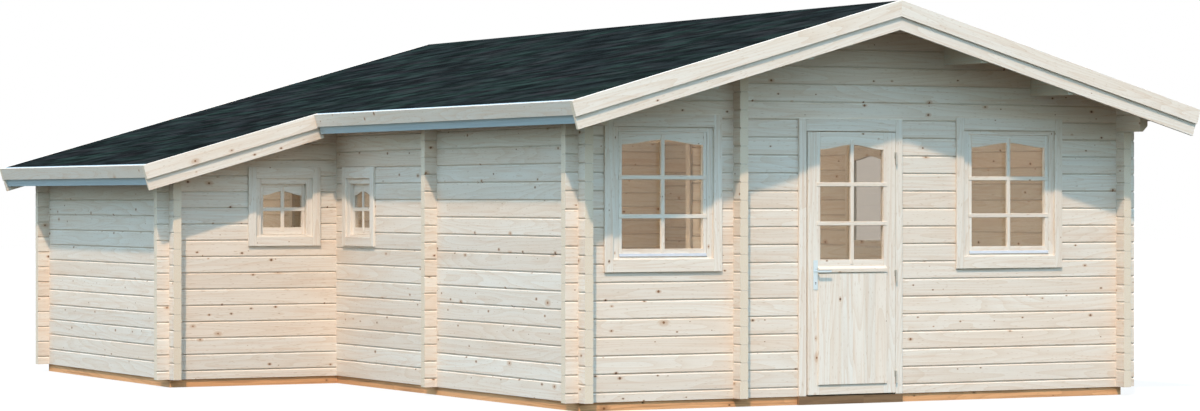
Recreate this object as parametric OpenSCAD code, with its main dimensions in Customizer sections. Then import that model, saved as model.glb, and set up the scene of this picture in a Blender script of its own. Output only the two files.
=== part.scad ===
// Log-built holiday cabin: a gabled main room with a lower side wing under one long roof slope.
// Millimetres, +Z up. X = 0 is the ridge line, Y = 0 the centre line of the front wall,
// Z = 0 the level ground under the sole beams. The front faces -Y.

/* [Logs] */
// Height of one wall log
log_h = 135; // [115:5:160]
// Thickness of the wall logs
log_t = 70; // [50:2:90]
// Chamfer along each log edge
log_c = 10; // [4:1:14]
// How far log ends run past the wall that they cross
end_out = 105; // [80:5:150]
// Height of the sole beams under the walls
sole_h = 65; // [45:5:120]
// Width of the sole beams
sole_w = 70; // [50:5:100]
// Set-back of the sole beams from the outer wall face
sole_in = 15; // [5:1:25]

/* [Plan] */
// Main room width, between wall centre lines
main_w = 4810; // [4500:10:5400]
// Main room depth, between wall centre lines
main_d = 7560; // [7000:10:8200]
// Wing width, between wall centre lines
wing_w = 1500; // [1200:10:1700]
// Wing front wall, behind the main front wall
wing_y = 4485; // [4300:5:4800]
// Front corner room width, between wall centre lines
room_w = 1305; // [1280:5:1400]
// Front corner room depth, between wall centre lines
room_d = 2465; // [2200:5:2900]

/* [Roof] */
// Roof pitch in degrees
pitch = 15.9; // [14:0.1:18]
// Height of the side walls at their outer face, above the sole
eave_h = 2264; // [2240:1:2400]
// Front verge overhang, wall face to bargeboard face
verge_out = 560; // [450:5:700]
// Overhang at the back verge
back_out = 335; // [200:5:500]
// Overhang at the wing's front verge
wing_out = 310; // [200:5:400]
// Overhang at the eaves
eave_out = 335; // [200:5:400]
// Thickness of the roof boards
deck_t = 20; // [16:1:28]
// Thickness of the roofing felt
felt_t = 5; // [3:1:8]
// Gap between pieces that meet on a sloping face
seat_gap = 0.2; // [0.1:0.1:0.5]
// Centre of the inner purlins, from the ridge
purlin_a = 776; // [650:1:850]
// Centre of the outer purlins, from the ridge
purlin_b = 1584; // [1500:1:1700]
// Depth of the purlins under the roof boards
purlin_d = 208; // [150:1:230]
// Depth of the ridge beam
ridge_d = 160; // [120:5:200]
// Thickness of the outer layer of bargeboard and fascia
trim_out_t = 20; // [16:1:28]
// Thickness of the inner layer of bargeboard and fascia
trim_in_t = 25; // [16:1:32]
// Width of the outer bargeboard
barge_out_w = 116; // [100:1:150]
// Width of the inner bargeboard
barge_in_w = 212; // [200:1:240]
// Width of the outer fascia board
fascia_out_w = 104; // [80:1:120]
// Width of the inner fascia board
fascia_in_w = 171; // [150:1:200]
// Width of both fascia boards at the right eave
fascia_right_w = 80; // [60:1:104]
// Eave log ends under the front verge, from the wall face
eave_log_out = 321; // [150:1:400]
// Height of the chamfer under the eave log ends
eave_log_c = 45; // [20:1:55]

/* [Windows] */
// Sash width of the front windows
win_w = 750; // [600:10:800]
// Sash height of the front windows
win_h = 928; // [800:4:940]
// Bottom of the front window sashes, above the sole
win_z = 1065; // [900:5:1080]
// Left front window, centre from the left wall's outer face
win_left = 705; // [640:5:730]
// Right front window, centre from the right wall's outer face
win_right = 1097; // [900:1:1200]
// Sash width of the small windows
small_w = 410; // [350:10:500]
// Sash height of the small windows
small_h = 425; // [350:5:450]
// Bottom of the small window sashes, above the sole
small_z = 1195; // [1000:5:1220]
// Sash width of the right wall's window
side_w = 620; // [500:10:700]
// Sash height of the right wall's window
side_h = 870; // [700:10:930]
// Right wall's window, centre behind the front wall's centre line
side_y = 3710; // [3000:10:4500]
// Wing window, centre from the wing side wall's outer face
small_x = 1023; // [700:1:1060]
// Left wall's window, centre in front of the wing front wall's face
small_y = 490; // [450:5:700]
// Width of the window frame around a sash
frame_w = 60; // [45:1:70]
// Width of the upright casing boards
casing_w = 70; // [55:1:90]
// Width of the top and bottom casing boards
casing_b = 95; // [70:1:110]
// Thickness of the casing boards
casing_t = 20; // [12:1:25]
// Lap of the upright casings onto the frame
casing_lap = 10; // [5:1:25]
// Lap of the bottom casing onto the frame
casing_lap_b = 44; // [20:1:44]
// Lap of the top casing onto the frame
casing_lap_t = 24; // [10:1:40]
// Width of the sash stiles
stile_w = 32; // [25:1:60]
// Width of the sash bottom rail
rail_w = 60; // [40:1:70]
// Depth of the sashes
sash_t = 45; // [35:1:56]
// Width of the glazing bars
bar_w = 31; // [20:1:40]
// Depth of the glazing bars
bar_d = 24; // [16:1:30]
// How far the glazing bars stand off the sash face
bar_out = 4; // [2:1:10]
// Lap of the cross bars onto the sash, each side
bar_lap = 30; // [10:1:32]
// Lap of the upright bar onto the sash, each end
bar_end = 38; // [20:1:50]
// Rise of the curved sash head
arch_h = 36; // [10:1:45]
// Thickness of the glass
glass_t = 6; // [4:1:10]

/* [Door] */
// Door centre line, to the left of the ridge line
door_left = 110; // [50:5:300]
// Width of the door leaf
leaf_w = 781; // [700:1:850]
// Height of the door leaf
leaf_h = 1995; // [1900:5:2010]
// Thickness of the door leaf
leaf_t = 42; // [36:1:50]
// Gap around the door leaf
leaf_gap = 7; // [7:1:9]
// How far the leaf stands in front of its casing
leaf_out = 10; // [6:1:14]
// Gap under the door leaf
sill_gap = 8; // [5:1:12]
// Thickness of the door jambs
jamb_t = 40; // [30:1:50]
// Width of the door casing boards
door_casing = 64; // [50:1:80]
// Width of the door's glass opening
pane_w = 564; // [450:2:600]
// Bottom of the door's glass, above the leaf's foot
pane_z = 1026; // [1000:2:1100]
// Height of the door's glass at the middle
pane_h = 873; // [700:1:880]
// Width of the lower panel
panel_w = 610; // [500:5:640]
// Height of the lower panel
panel_h = 832; // [700:1:850]
// How far the lower panel stands out at the front and is sunk at the back
panel_d = 12; // [4:1:16]
// Gap between the lower panel and the glass
panel_top = 117; // [100:1:140]
// Height of the weather bar over the lower panel
drip_h = 48; // [20:1:60]
// How far the weather bar stands off the leaf
drip_out = 20; // [14:1:30]
// Height of the lever spindle, above the leaf's foot
lever_z = 939; // [900:1:980]
// Lever spindle, from the leaf's free edge
lever_in = 65; // [50:1:70]
// Lever length from its spindle
lever_l = 138; // [100:1:150]
// Width of the lever
lever_w = 18; // [14:1:24]
// Thickness of the lever
lever_t = 12; // [8:1:14]
// Space between the leaf and the lever
lever_off = 52; // [35:1:55]
// Radius of the lever's spindle
spindle_r = 6; // [4:0.5:8]
// Width of the handle plates
plate_w = 40; // [30:1:44]
// Height of the handle plates
plate_h = 209; // [160:1:240]
// Thickness of the handle plates
plate_t = 5; // [3:1:8]
// Radius of the hinge knuckles
knuckle_r = 6.5; // [5:0.5:7]
// Length of each hinge
hinge_h = 95; // [70:1:120]
// Radius of the hinge pins
pin_r = 3; // [2.5:0.5:4]
// Running clearance around the hinge pins
pin_gap = 0.1; // [0.05:0.05:0.1]

/* [Floor] */
// Thickness of the floor boards
floor_t = 28; // [19:1:32]
// Gap between the floor and the walls
floor_gap = 8; // [4:1:12]
// Joist width
joist_w = 45; // [38:1:60]
// Widest joist spacing
joist_step = 600; // [400:10:700]

/* [Inner doorways] */
// Height of the inner doorways
inner_h = 1950; // [1800:10:1980]
// Width of the doorway between the main room and the wing
wing_door_w = 700; // [600:10:900]
// That doorway's edge, behind the wing front wall
wing_door_y = 165; // [120:5:800]
// Width of the corner room's doorway
room_door_w = 1300; // [700:10:1400]
// That doorway's edge, behind the front wall's centre line
room_door_y = 655; // [300:5:700]

/* [Hidden] */

eps = 1;                                   // cutters run past the faces that they open
big = 40000;
half_w = main_w / 2;                       // right and left wall centre lines at +-half_w
wing_x = -half_w - wing_w;                 // wing side wall centre line
part_x = -half_w + room_w;                 // long partition centre line
out_x = half_w + log_t / 2;                // outer face of the main side walls
tan_p = tan(pitch);
cos_p = cos(pitch);
run = end_out + log_t / 2;                 // wall centre line to log end
ridge_z = sole_h + eave_h + out_x * tan_p; // top of the walls, at the ridge
roof_v = deck_t + felt_t;
top_z = ridge_z + (roof_v + seat_gap) / cos_p;
u_main = (out_x + eave_out) / cos_p;       // ridge to main eave along the slope
u_wing = (out_x + wing_w + eave_out) / cos_p;
trim_t = trim_out_t + trim_in_t;
front_y = -log_t / 2 - verge_out;          // outer faces of the bargeboards
back_y = main_d + log_t / 2 + back_out;
wing_fy = wing_y - log_t / 2 - wing_out;
deck_f = front_y + trim_t;
deck_b = back_y - trim_t;

door_x = -door_left;
open_w = leaf_w + 2 * leaf_gap + 2 * jamb_t;
open_h = sill_gap + leaf_h + leaf_gap + jamb_t;
win_top = win_z + win_h + frame_w;
// The first front seam over the door and the windows carries the gable
head_n = ceil((max(open_h, win_top) + eps) / log_h - 0.5) + 0.5;
head_z = head_n * log_h;
eave_n = floor(eave_h / log_h) - 1;        // side courses from here on carry the verge
face_y = -log_t / 2;                       // outer face of the front wall
leaf_y = face_y - casing_t - leaf_out;     // outer face of the door leaf
leaf_foot = sole_h + sill_gap;
hinge_x = door_x + leaf_w / 2 + leaf_gap / 2;
hinge_y = leaf_y - knuckle_r - 1.5;
stop_w = 15;                               // stops behind the leaf
stop_t = 30;
stop_y = leaf_y + leaf_t + leaf_gap;
hinge_zs = [123, 895, 1797];               // hinge middles above the leaf's foot
plate_t2 = 3;                              // hinge plates
plate_w2 = 30;
plate_cut = 0.64;                          // share of the handle plate under the spindle
spindle_x = door_x - leaf_w / 2 + lever_in;
spindle_z = leaf_foot + lever_z;
win_lx = -out_x + win_left;
win_rx = out_x - win_right;
small_cx = wing_x - log_t / 2 + small_x;
small_cy = wing_y - log_t / 2 - small_y;
sash_in = 2;                               // sash face behind the wall face
// Middles of the cross bars, as shares of the glass height
win_bars = [0.298, 0.655];
small_bars = [0.5];
door_bars = [0.313, 0.654];
half = log_h / 2;
stack_h = ridge_z + log_h;                 // log stacks run past the roof and are cut there
wing_door_y0 = wing_y + log_t / 2 + wing_door_y;
room_door_y0 = room_door_y;
floor_in = log_t / 2 + floor_gap;          // floor edge from a wall's centre line

log_c1 = "#e6d9c4";
trim_c1 = "#ecdcc6";

// ---- helpers ----------------------------------------------------------------

// Top of what carries the roof boards, at x
function roof_z(x) = ridge_z - abs(x) * tan_p;

// Point at distance u down the slope from the ridge and v under the felt's top
function slope_pt(side, u, v) =
  [side * (u * cos_p - v * sin(pitch)), top_z - u * sin(pitch) - v * cos_p];

// One edge of a log stack: a V where two logs meet
function stack_edge(top, first) = concat([[log_t / 2, 0]],
  [for (s = [first : log_h : top - log_c - 1]) each
    [[log_t / 2, s - log_c], [log_t / 2 - log_c, s], [log_t / 2, s + log_c]]],
  [[log_t / 2, top]]);
function stack(top, first) = let (e = stack_edge(top, first))
  concat(e, [for (i = [len(e) - 1 : -1 : 0]) [-e[i][0], e[i][1]]]);

// A board in the roof's plane: from u0 (or the plumb cut at the ridge) to u1, v0 to v1 deep
module slope_board(side, u0, u1, v0, v1, y0, y1)
  translate([0, y1, 0]) rotate([90, 0, 0]) linear_extrude(y1 - y0)
    polygon([slope_pt(side, max(u0, v0 * tan_p), v0), slope_pt(side, u1, v0),
             slope_pt(side, u1, v1), slope_pt(side, max(u0, v1 * tan_p), v1)]);

// Everything under the roof boards
module under_roof(x0, x1, y0, y1)
  translate([0, y1, 0]) rotate([90, 0, 0]) linear_extrude(y1 - y0)
    polygon(concat([[x0, 0], [x0, roof_z(x0)]], x0 < 0 && x1 > 0 ? [[0, ridge_z]] : [],
      [[x1, roof_z(x1)], [x1, 0]]));

// Log wall along X at y, seams at half courses
module x_logs(x0, x1, y, z0 = 0, z1 = stack_h)
  translate([x0, y, sole_h]) rotate([90, 0, 90]) intersection() {
    linear_extrude(x1 - x0) polygon(stack(stack_h + log_h, half));
    translate([-log_t, z0, 0]) cube([2 * log_t, z1 - z0, x1 - x0]);
  }
// Log wall along Y at x, seams at whole courses
module y_logs(y0, y1, x)
  translate([x, y1, sole_h]) rotate([90, 0, 0]) linear_extrude(y1 - y0) polygon(stack(stack_h, log_h));

// Half-lap notches where an X wall lets a Y wall through, and the other way round
module x_notches(x, y)
  for (k = [0 : floor(ridge_z / log_h)]) translate([x - log_t / 2, y - log_t, sole_h + (k + 0.25) * log_h])
    cube([log_t, 2 * log_t, half]);
module y_notches(x, y)
  for (k = [0 : floor(ridge_z / log_h)]) translate([x - log_t, y - log_t / 2, sole_h + (k - 0.25) * log_h])
    cube([2 * log_t, log_t, half]);

// Curved head line of a glazed opening, w wide, from the side height up to the middle height
function head_pts(w, z_side, rise) =
  [for (i = [0 : 24]) let (t = i / 24) [w / 2 - t * w, z_side + rise * (1 - cos(360 * t)) / 2]];
module glazed_shape(w, z0, z_top, depth)
  rotate([90, 0, 0]) linear_extrude(depth)
    polygon(concat([[-w / 2, z0], [w / 2, z0]], head_pts(w, z_top - arch_h, arch_h)));

// These place children, which face -Y with their wall face at y = 0, into the windows
module at_front_windows() for (x = [win_lx, win_rx]) translate([x, face_y, sole_h + win_z]) children();
module at_small_windows() {
  translate([small_cx, wing_y - log_t / 2, sole_h + small_z]) children();
  translate([-out_x, small_cy, sole_h + small_z]) rotate([0, 0, -90]) children();
}
module at_side_window() translate([out_x, side_y, sole_h + win_z]) rotate([0, 0, 90]) children();

module window_hole(w, h)
  translate([-w / 2 - frame_w, -log_t, -frame_w]) cube([w + 2 * frame_w, 3 * log_t, h + 2 * frame_w]);

module window_casing(w, h) difference() {
  iw = w + 2 * (frame_w - casing_lap);
  ih = h + 2 * frame_w - casing_lap_b - casing_lap_t;
  translate([-iw / 2 - casing_w, -casing_t, casing_lap_b - frame_w - casing_b])
    cube([iw + 2 * casing_w, casing_t, ih + 2 * casing_b]);
  translate([-iw / 2, -casing_t - eps, casing_lap_b - frame_w]) cube([iw, casing_t + 2 * eps, ih]);
}

module window_frame(w, h) difference() {
  translate([-w / 2 - frame_w, 0, -frame_w]) cube([w + 2 * frame_w, log_t, h + 2 * frame_w]);
  translate([-w / 2, -eps, 0]) cube([w, log_t + 2 * eps, h]);
}

// Upright bar and cross bars over glass w wide from z0 to z1, their faces at y
module glazing_bars(w, z0, z1, shares, y) {
  translate([-bar_w / 2, y, z0 - bar_end]) cube([bar_w, bar_d, z1 - z0 + 2 * bar_end]);
  for (s = shares) translate([-w / 2 - bar_lap, y, z0 + s * (z1 - z0) - bar_w / 2])
    cube([w + 2 * bar_lap, bar_d, bar_w]);
}

module window_sash(w, h, shares) {
  ow = w - 2 * stile_w;
  top = h - rail_w;
  difference() {
    translate([-w / 2, sash_in, 0]) cube([w, sash_t, h]);
    translate([0, sash_in + sash_t + eps, 0]) glazed_shape(ow, rail_w, top, sash_t + 2 * eps);
  }
  if (len(shares) > 0) glazing_bars(ow, rail_w, top, shares, sash_in - bar_out);
}

// ---- ground floor -----------------------------------------------------------

module beam(x0, x1, y0, y1) translate([x0, y0, 0]) cube([x1 - x0, y1 - y0, sole_h]);

module sole_beams() color("#b98a62") {
  a = log_t / 2 - sole_in;                 // outer face of a beam from its wall's centre line
  b = sole_w - a;
  beam(-half_w - a, half_w + a, -a, b);
  beam(half_w - b, half_w + a, -a, main_d + a);
  beam(wing_x - a, half_w + a, main_d - b, main_d + a);
  beam(wing_x - a, wing_x + b, wing_y - a, main_d + a);
  beam(wing_x - a, -half_w + b, wing_y - a, wing_y + b);
  beam(-half_w - a, -half_w + b, -a, main_d + a);
  beam(part_x - sole_w / 2, part_x + sole_w / 2, -a, room_d + sole_w / 2);
  beam(-half_w - a, part_x + sole_w / 2, room_d - sole_w / 2, room_d + sole_w / 2);
}

module joist_field(x0, x1, y0, y1) {
  n = ceil((y1 - y0) / joist_step);
  for (i = [1 : n - 1])
    translate([x0, y0 + i * (y1 - y0) / n - joist_w / 2, 0]) cube([x1 - x0, joist_w, sole_h]);
}

module floor_joists() color("#a98560") {
  b = sole_w - (log_t / 2 - sole_in);
  joist_field(-half_w + b, part_x - sole_w / 2, b, room_d - sole_w / 2);
  joist_field(part_x + sole_w / 2, half_w - b, b, room_d + sole_w / 2);
  joist_field(-half_w + b, half_w - b, room_d + sole_w / 2, main_d - b);
  joist_field(wing_x + b, -half_w - (log_t / 2 - sole_in), wing_y + b, main_d - b);
}

module floor_slab(x0, x1, y0, y1)
  translate([x0, y0, sole_h]) cube([x1 - x0, y1 - y0, floor_t]);

module floor() color("#d9c3a0") difference() {
  g = floor_in;
  union() {
    floor_slab(-half_w + g, part_x - g, g, room_d - g);
    floor_slab(part_x + g, half_w - g, g, main_d - g);
    floor_slab(-half_w + g, half_w - g, room_d + g, main_d - g);
    floor_slab(wing_x + g, -half_w - g, wing_y + g, main_d - g);
    // Through the inner doorways
    floor_slab(part_x - 2 * g, part_x + 2 * g, room_door_y0 + floor_gap,
      room_door_y0 + room_door_w - floor_gap);
    floor_slab(-half_w - 2 * g, -half_w + 2 * g, wing_door_y0 + floor_gap,
      wing_door_y0 + wing_door_w - floor_gap);
  }
  // Around the log ends that stand into the main room
  floor_cut(part_x, part_x + run + floor_gap, room_d - g, room_d + g);
  floor_cut(part_x - g, part_x + g, room_d, room_d + run + floor_gap);
  floor_cut(-half_w, -half_w + run + floor_gap, wing_y - g, wing_y + g);
}
module floor_cut(x0, x1, y0, y1)
  translate([x0, y0, sole_h - eps]) cube([x1 - x0, y1 - y0, floor_t + 2 * eps]);

// ---- walls ------------------------------------------------------------------

module front_logs(x0, x1, z0, z1) difference() {
  intersection() {
    x_logs(x0, x1, 0, z0, z1);
    under_roof(-half_w - run - eps, half_w + run + eps, -log_t, log_t);
  }
  x_notches(-half_w, 0);
  x_notches(half_w, 0);
  x_notches(part_x, 0);
}

module front_wall_left() color(log_c1) difference() {
  front_logs(-half_w - run, door_x - open_w / 2, 0, head_z);
  at_front_windows() window_hole(win_w, win_h);
}
module front_wall_right() color(log_c1) difference() {
  front_logs(door_x + open_w / 2, half_w + run, 0, head_z);
  at_front_windows() window_hole(win_w, win_h);
}
module front_gable() color(log_c1) difference() {
  union() {
    front_logs(-half_w - run, half_w + run, head_z, stack_h);
    x_logs(door_x - open_w / 2, door_x + open_w / 2, 0, open_h, head_z + eps);
  }
  purlin_space();
}

// Eave courses run on under the front verge with a chamfer at their outer lower edge
module eave_log_end(side) {
  z = sole_h + eave_n * log_h;
  difference() {
    translate([side * half_w - log_t / 2, -log_t / 2 - eave_log_out, z])
      cube([log_t, eave_log_out - end_out + eps, 3 * log_h]);
    translate([side * out_x, 0, z]) rotate([0, side * 45, 0])
      cube([eave_log_c * sqrt(2), 3 * verge_out, eave_log_c * sqrt(2)], center = true);
  }
}

module side_logs(side, y0, y1) intersection() {
  union() {
    y_logs(y0, y1, side * half_w);
    if (y0 < 0) eave_log_end(side);
  }
  under_roof(-half_w - log_t, half_w + log_t, deck_f, deck_b);
}

module left_wall() color(log_c1) difference() {
  side_logs(-1, -run, wing_y + log_t / 2);
  y_notches(-half_w, 0);
  y_notches(-half_w, room_d);
  y_notches(-half_w, wing_y);
  at_small_windows() window_hole(small_w, small_h);
}
// Rear part of the left wall: it carries the roof between the main room and the wing
module inner_wall() color(log_c1) difference() {
  side_logs(-1, wing_y + log_t / 2, main_d + run);
  y_notches(-half_w, main_d);
  translate([-half_w - log_t, wing_door_y0, sole_h - eps]) cube([2 * log_t, wing_door_w, inner_h + eps]);
}
module right_wall() color(log_c1) difference() {
  side_logs(1, -run, main_d + run);
  y_notches(half_w, 0);
  y_notches(half_w, main_d);
  at_side_window() window_hole(side_w, side_h);
}
module back_wall() color(log_c1) difference() {
  intersection() {
    x_logs(wing_x - run, half_w + run, main_d);
    under_roof(wing_x - run - eps, half_w + run + eps, main_d - log_t, main_d + log_t);
  }
  x_notches(wing_x, main_d);
  x_notches(-half_w, main_d);
  x_notches(half_w, main_d);
  purlin_space();
}
module wing_front_wall() color(log_c1) difference() {
  intersection() {
    x_logs(wing_x - run, -half_w + run, wing_y);
    under_roof(wing_x - run - eps, 0, wing_y - log_t, wing_y + log_t);
  }
  x_notches(wing_x, wing_y);
  x_notches(-half_w, wing_y);
  at_small_windows() window_hole(small_w, small_h);
}
module wing_side_wall() color(log_c1) difference() {
  intersection() {
    y_logs(wing_y - run, main_d + run, wing_x);
    under_roof(wing_x - log_t, 0, wing_fy, back_y);
  }
  y_notches(wing_x, wing_y);
  y_notches(wing_x, main_d);
}
module partition_long() color(log_c1) difference() {
  intersection() {
    y_logs(-run, room_d + run, part_x);
    under_roof(part_x - log_t, part_x + log_t, -2 * run, room_d + 2 * run);
  }
  y_notches(part_x, 0);
  y_notches(part_x, room_d);
  translate([part_x - log_t, room_door_y0, sole_h - eps]) cube([2 * log_t, room_door_w, inner_h + eps]);
}
module partition_cross() color(log_c1) difference() {
  intersection() {
    x_logs(-half_w - run, part_x + run, room_d);
    under_roof(-half_w - run - eps, part_x + run + eps, room_d - log_t, room_d + log_t);
  }
  x_notches(-half_w, room_d);
  x_notches(part_x, room_d);
  purlin_space();
}

// Boards around an inner doorway, on both faces of its wall
module inner_casing(x, y, w) for (side = [-1, 1])
  translate([x + side * (log_t + casing_t) / 2 - casing_t / 2, y, sole_h + floor_t]) difference() {
    h = inner_h - floor_t;
    o = door_casing - casing_lap;
    translate([0, -o, 0]) cube([casing_t, w + 2 * o, h + o]);
    translate([-eps, casing_lap, -eps]) cube([casing_t + 2 * eps, w - 2 * casing_lap, h - casing_lap + eps]);
  }
module inner_casings() color(trim_c1) {
  inner_casing(-half_w, wing_door_y0, wing_door_w);
  inner_casing(part_x, room_door_y0, room_door_w);
}

// ---- roof -------------------------------------------------------------------

module purlin(x, depth, y0, y1) {
  z = roof_z(x) - depth;
  translate([0, y1, 0]) rotate([90, 0, 0]) linear_extrude(y1 - y0)
    polygon(concat([[x - log_t / 2, z], [x + log_t / 2, z], [x + log_t / 2, roof_z(x + log_t / 2)]],
      x == 0 ? [[0, ridge_z]] : [], [[x - log_t / 2, roof_z(x - log_t / 2)]]));
}
module ridge_beam() color("#dccbb0") purlin(0, ridge_d, deck_f, deck_b);
module purlins() color("#dccbb0")
  for (x = [-purlin_b, -purlin_a, purlin_a, purlin_b]) purlin(x, purlin_d, deck_f, deck_b);
// Seats in the cross walls for the ridge beam and the purlins
module purlin_space() {
  for (x = [-purlin_b, -purlin_a, 0, purlin_a, purlin_b]) {
    d = x == 0 ? ridge_d : purlin_d;
    translate([x - log_t / 2, -2 * log_t, roof_z(x) - d]) cube([log_t, main_d + 4 * log_t, d + log_t]);
  }
}

module roof_layer(v0, v1) {
  slope_board(-1, 0, u_main - trim_t, v0, v1, deck_f, wing_fy + trim_t);
  slope_board(-1, 0, u_wing - trim_t, v0, v1, wing_fy + trim_t, deck_b);
}
module roof_deck_left() color("#d8c7aa") roof_layer(felt_t, roof_v);
module roof_deck_right() color("#d8c7aa")
  slope_board(1, 0, u_main - trim_t, felt_t, roof_v, deck_f, deck_b);
module roof_felt_left() color("#2b353a") roof_layer(0, felt_t);
module roof_felt_right() color("#2b353a") slope_board(1, 0, u_main - trim_t, 0, felt_t, deck_f, deck_b);

module front_bargeboards() color(trim_c1) {
  slope_board(-1, 0, u_main, 0, barge_in_w, deck_f - trim_in_t, deck_f);
  slope_board(1, 0, u_main, 0, barge_in_w, deck_f - trim_in_t, deck_f);
}
module front_barge_cover() color(trim_c1) {
  slope_board(-1, 0, u_main, 0, barge_out_w, front_y, front_y + trim_out_t);
  slope_board(1, 0, u_main, 0, barge_out_w, front_y, front_y + trim_out_t);
}
module back_bargeboards() color(trim_c1) {
  slope_board(-1, 0, u_wing, 0, barge_in_w, deck_b, deck_b + trim_in_t);
  slope_board(1, 0, u_main, 0, barge_in_w, deck_b, deck_b + trim_in_t);
}
module back_barge_cover() color(trim_c1) {
  slope_board(-1, 0, u_wing, 0, barge_out_w, back_y - trim_out_t, back_y);
  slope_board(1, 0, u_main, 0, barge_out_w, back_y - trim_out_t, back_y);
}
module wing_bargeboard() color(trim_c1)
  slope_board(-1, u_main - trim_t + seat_gap, u_wing, 0, barge_in_w, wing_fy + trim_out_t,
    wing_fy + trim_t);
module wing_barge_cover() color(trim_c1)
  slope_board(-1, u_main - trim_t + seat_gap, u_wing, 0, barge_out_w, wing_fy, wing_fy + trim_out_t);
module fascia_set(a, b, w) {
  slope_board(-1, u_main - a, u_main - b, 0, w, deck_f, wing_fy);
  slope_board(1, u_main - a, u_main - b, 0, fascia_right_w, deck_f, deck_b);
  slope_board(-1, u_wing - a, u_wing - b, 0, w, wing_fy + trim_t, deck_b);
}
module eave_fascias() color(trim_c1) fascia_set(trim_t - seat_gap, trim_out_t, fascia_in_w);
module eave_fascia_cover() color(trim_c1) fascia_set(trim_out_t - seat_gap, 0, fascia_out_w);

// ---- windows ----------------------------------------------------------------

module window_casings() color(trim_c1) {
  at_front_windows() window_casing(win_w, win_h);
  at_small_windows() window_casing(small_w, small_h);
  at_side_window() window_casing(side_w, side_h);
}
module window_frames() color(trim_c1) {
  at_front_windows() window_frame(win_w, win_h);
  at_small_windows() window_frame(small_w, small_h);
  at_side_window() window_frame(side_w, side_h);
}
module window_sashes() color(trim_c1) {
  at_front_windows() window_sash(win_w, win_h, win_bars);
  at_small_windows() window_sash(small_w, small_h, small_bars);
  at_side_window() window_sash(side_w, side_h, []);
}
module pane(w, h) translate([0, sash_in + sash_t - 4, 0])
  glazed_shape(w - 2 * stile_w, rail_w, h - rail_w, glass_t);
module window_glass() color("#9fb4b8", 0.4) {
  at_front_windows() pane(win_w, win_h);
  at_small_windows() pane(small_w, small_h);
  at_side_window() pane(side_w, side_h);
}

// ---- door -------------------------------------------------------------------

module door_casing() color(trim_c1) translate([door_x, face_y - casing_t, sole_h]) difference() {
  w = leaf_w + 2 * leaf_gap;
  h = sill_gap + leaf_h + leaf_gap;
  translate([-w / 2 - door_casing, 0, 0]) cube([w + 2 * door_casing, casing_t, h + casing_b]);
  translate([-w / 2, -eps, -eps]) cube([w, casing_t + 2 * eps, h + eps]);
}
module door_frame() color(trim_c1) translate([door_x, face_y, sole_h]) {
  w = leaf_w + 2 * leaf_gap;
  h = sill_gap + leaf_h + leaf_gap;
  difference() {
    translate([-open_w / 2, 0, 0]) cube([open_w, log_t, open_h]);
    translate([-w / 2, -eps, -eps]) cube([w, log_t + 2 * eps, h + eps]);
  }
  y = stop_y - face_y;
  difference() {
    translate([-w / 2, y, floor_t]) cube([w, stop_t, h - floor_t]);
    translate([-w / 2 + stop_w, y - eps, floor_t - eps])
      cube([w - 2 * stop_w, stop_t + 2 * eps, h - floor_t - stop_w + eps]);
  }
}
module threshold() color("#7b6a55") {
  w = leaf_w + 2 * leaf_gap;
  // Board in front of the sole beam
  translate([door_x - w / 2 - door_casing, face_y - casing_t, 0])
    cube([w + 2 * door_casing, casing_t + sole_in, sole_h]);
  // Tread between the jambs, behind the closed leaf
  translate([door_x - w / 2, stop_y, sole_h]) cube([w, log_t / 2 - stop_y, floor_t]);
}

// Leaf with its lower panel proud of the front face and sunk in the back face
module leaf_slab() {
  z = pane_z - panel_top - panel_h;
  difference() {
    translate([-leaf_w / 2, 0, 0]) cube([leaf_w, leaf_t, leaf_h]);
    translate([0, leaf_t + eps, 0]) glazed_shape(pane_w, pane_z, pane_z + pane_h, leaf_t + 2 * eps);
    translate([-panel_w / 2, leaf_t - panel_d, z]) cube([panel_w, panel_d + eps, panel_h]);
  }
  translate([-panel_w / 2, -panel_d, z]) cube([panel_w, panel_d + eps, panel_h]);
}
module door_leaf() color(trim_c1) difference() {
  translate([door_x, leaf_y, leaf_foot]) {
    leaf_slab();
    glazing_bars(pane_w, pane_z, pane_z + pane_h, door_bars, -bar_out);
    // Weather bar with a sloping top
    translate([-panel_w / 2, 0, pane_z - panel_top + 20]) rotate([90, 0, 90]) linear_extrude(panel_w)
      polygon([[eps, 0], [-drip_out, 0], [-drip_out, drip_h * 0.58], [0, drip_h], [eps, drip_h]]);
  }
  translate([spindle_x, leaf_y - eps, spindle_z]) rotate([-90, 0, 0])
    cylinder(r = spindle_r + 3, h = leaf_t + 2 * eps);
}
module door_glass() color("#9fb4b8", 0.4)
  translate([door_x, leaf_y + leaf_t - 12, leaf_foot]) glazed_shape(pane_w, pane_z, pane_z + pane_h, glass_t);

module at_hinges() for (z = hinge_zs) translate([hinge_x, hinge_y, leaf_foot + z - hinge_h / 2]) children();
module frame_hinges() color("#b9bcbc") at_hinges() {
  d = face_y - casing_t - hinge_y;         // axis to the casing's face
  cylinder(r = knuckle_r, h = hinge_h / 2 - 0.5);
  cylinder(r = pin_r, h = hinge_h - 3);
  translate([leaf_gap / 2 + 1, 0, 0]) cube([knuckle_r - leaf_gap / 2 - 1, d, hinge_h / 2 - 0.5]);
  translate([leaf_gap / 2 + 1, d - plate_t2, 0]) cube([plate_w2, plate_t2, hinge_h / 2 - 0.5]);
}
module leaf_hinges() color("#b9bcbc") at_hinges() {
  z = hinge_h / 2 + 0.5;
  d = leaf_y - hinge_y;
  difference() {
    union() {
      translate([0, 0, z]) cylinder(r = knuckle_r, h = hinge_h / 2 - 0.5);
      translate([-leaf_gap / 2 - plate_w2, d - plate_t2, z])
        cube([leaf_gap / 2 + plate_w2, plate_t2, hinge_h / 2 - 0.5]);
    }
    translate([0, 0, z - eps]) cylinder(r = pin_r + pin_gap, h = hinge_h / 2 - 3 + eps);
  }
}

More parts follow.
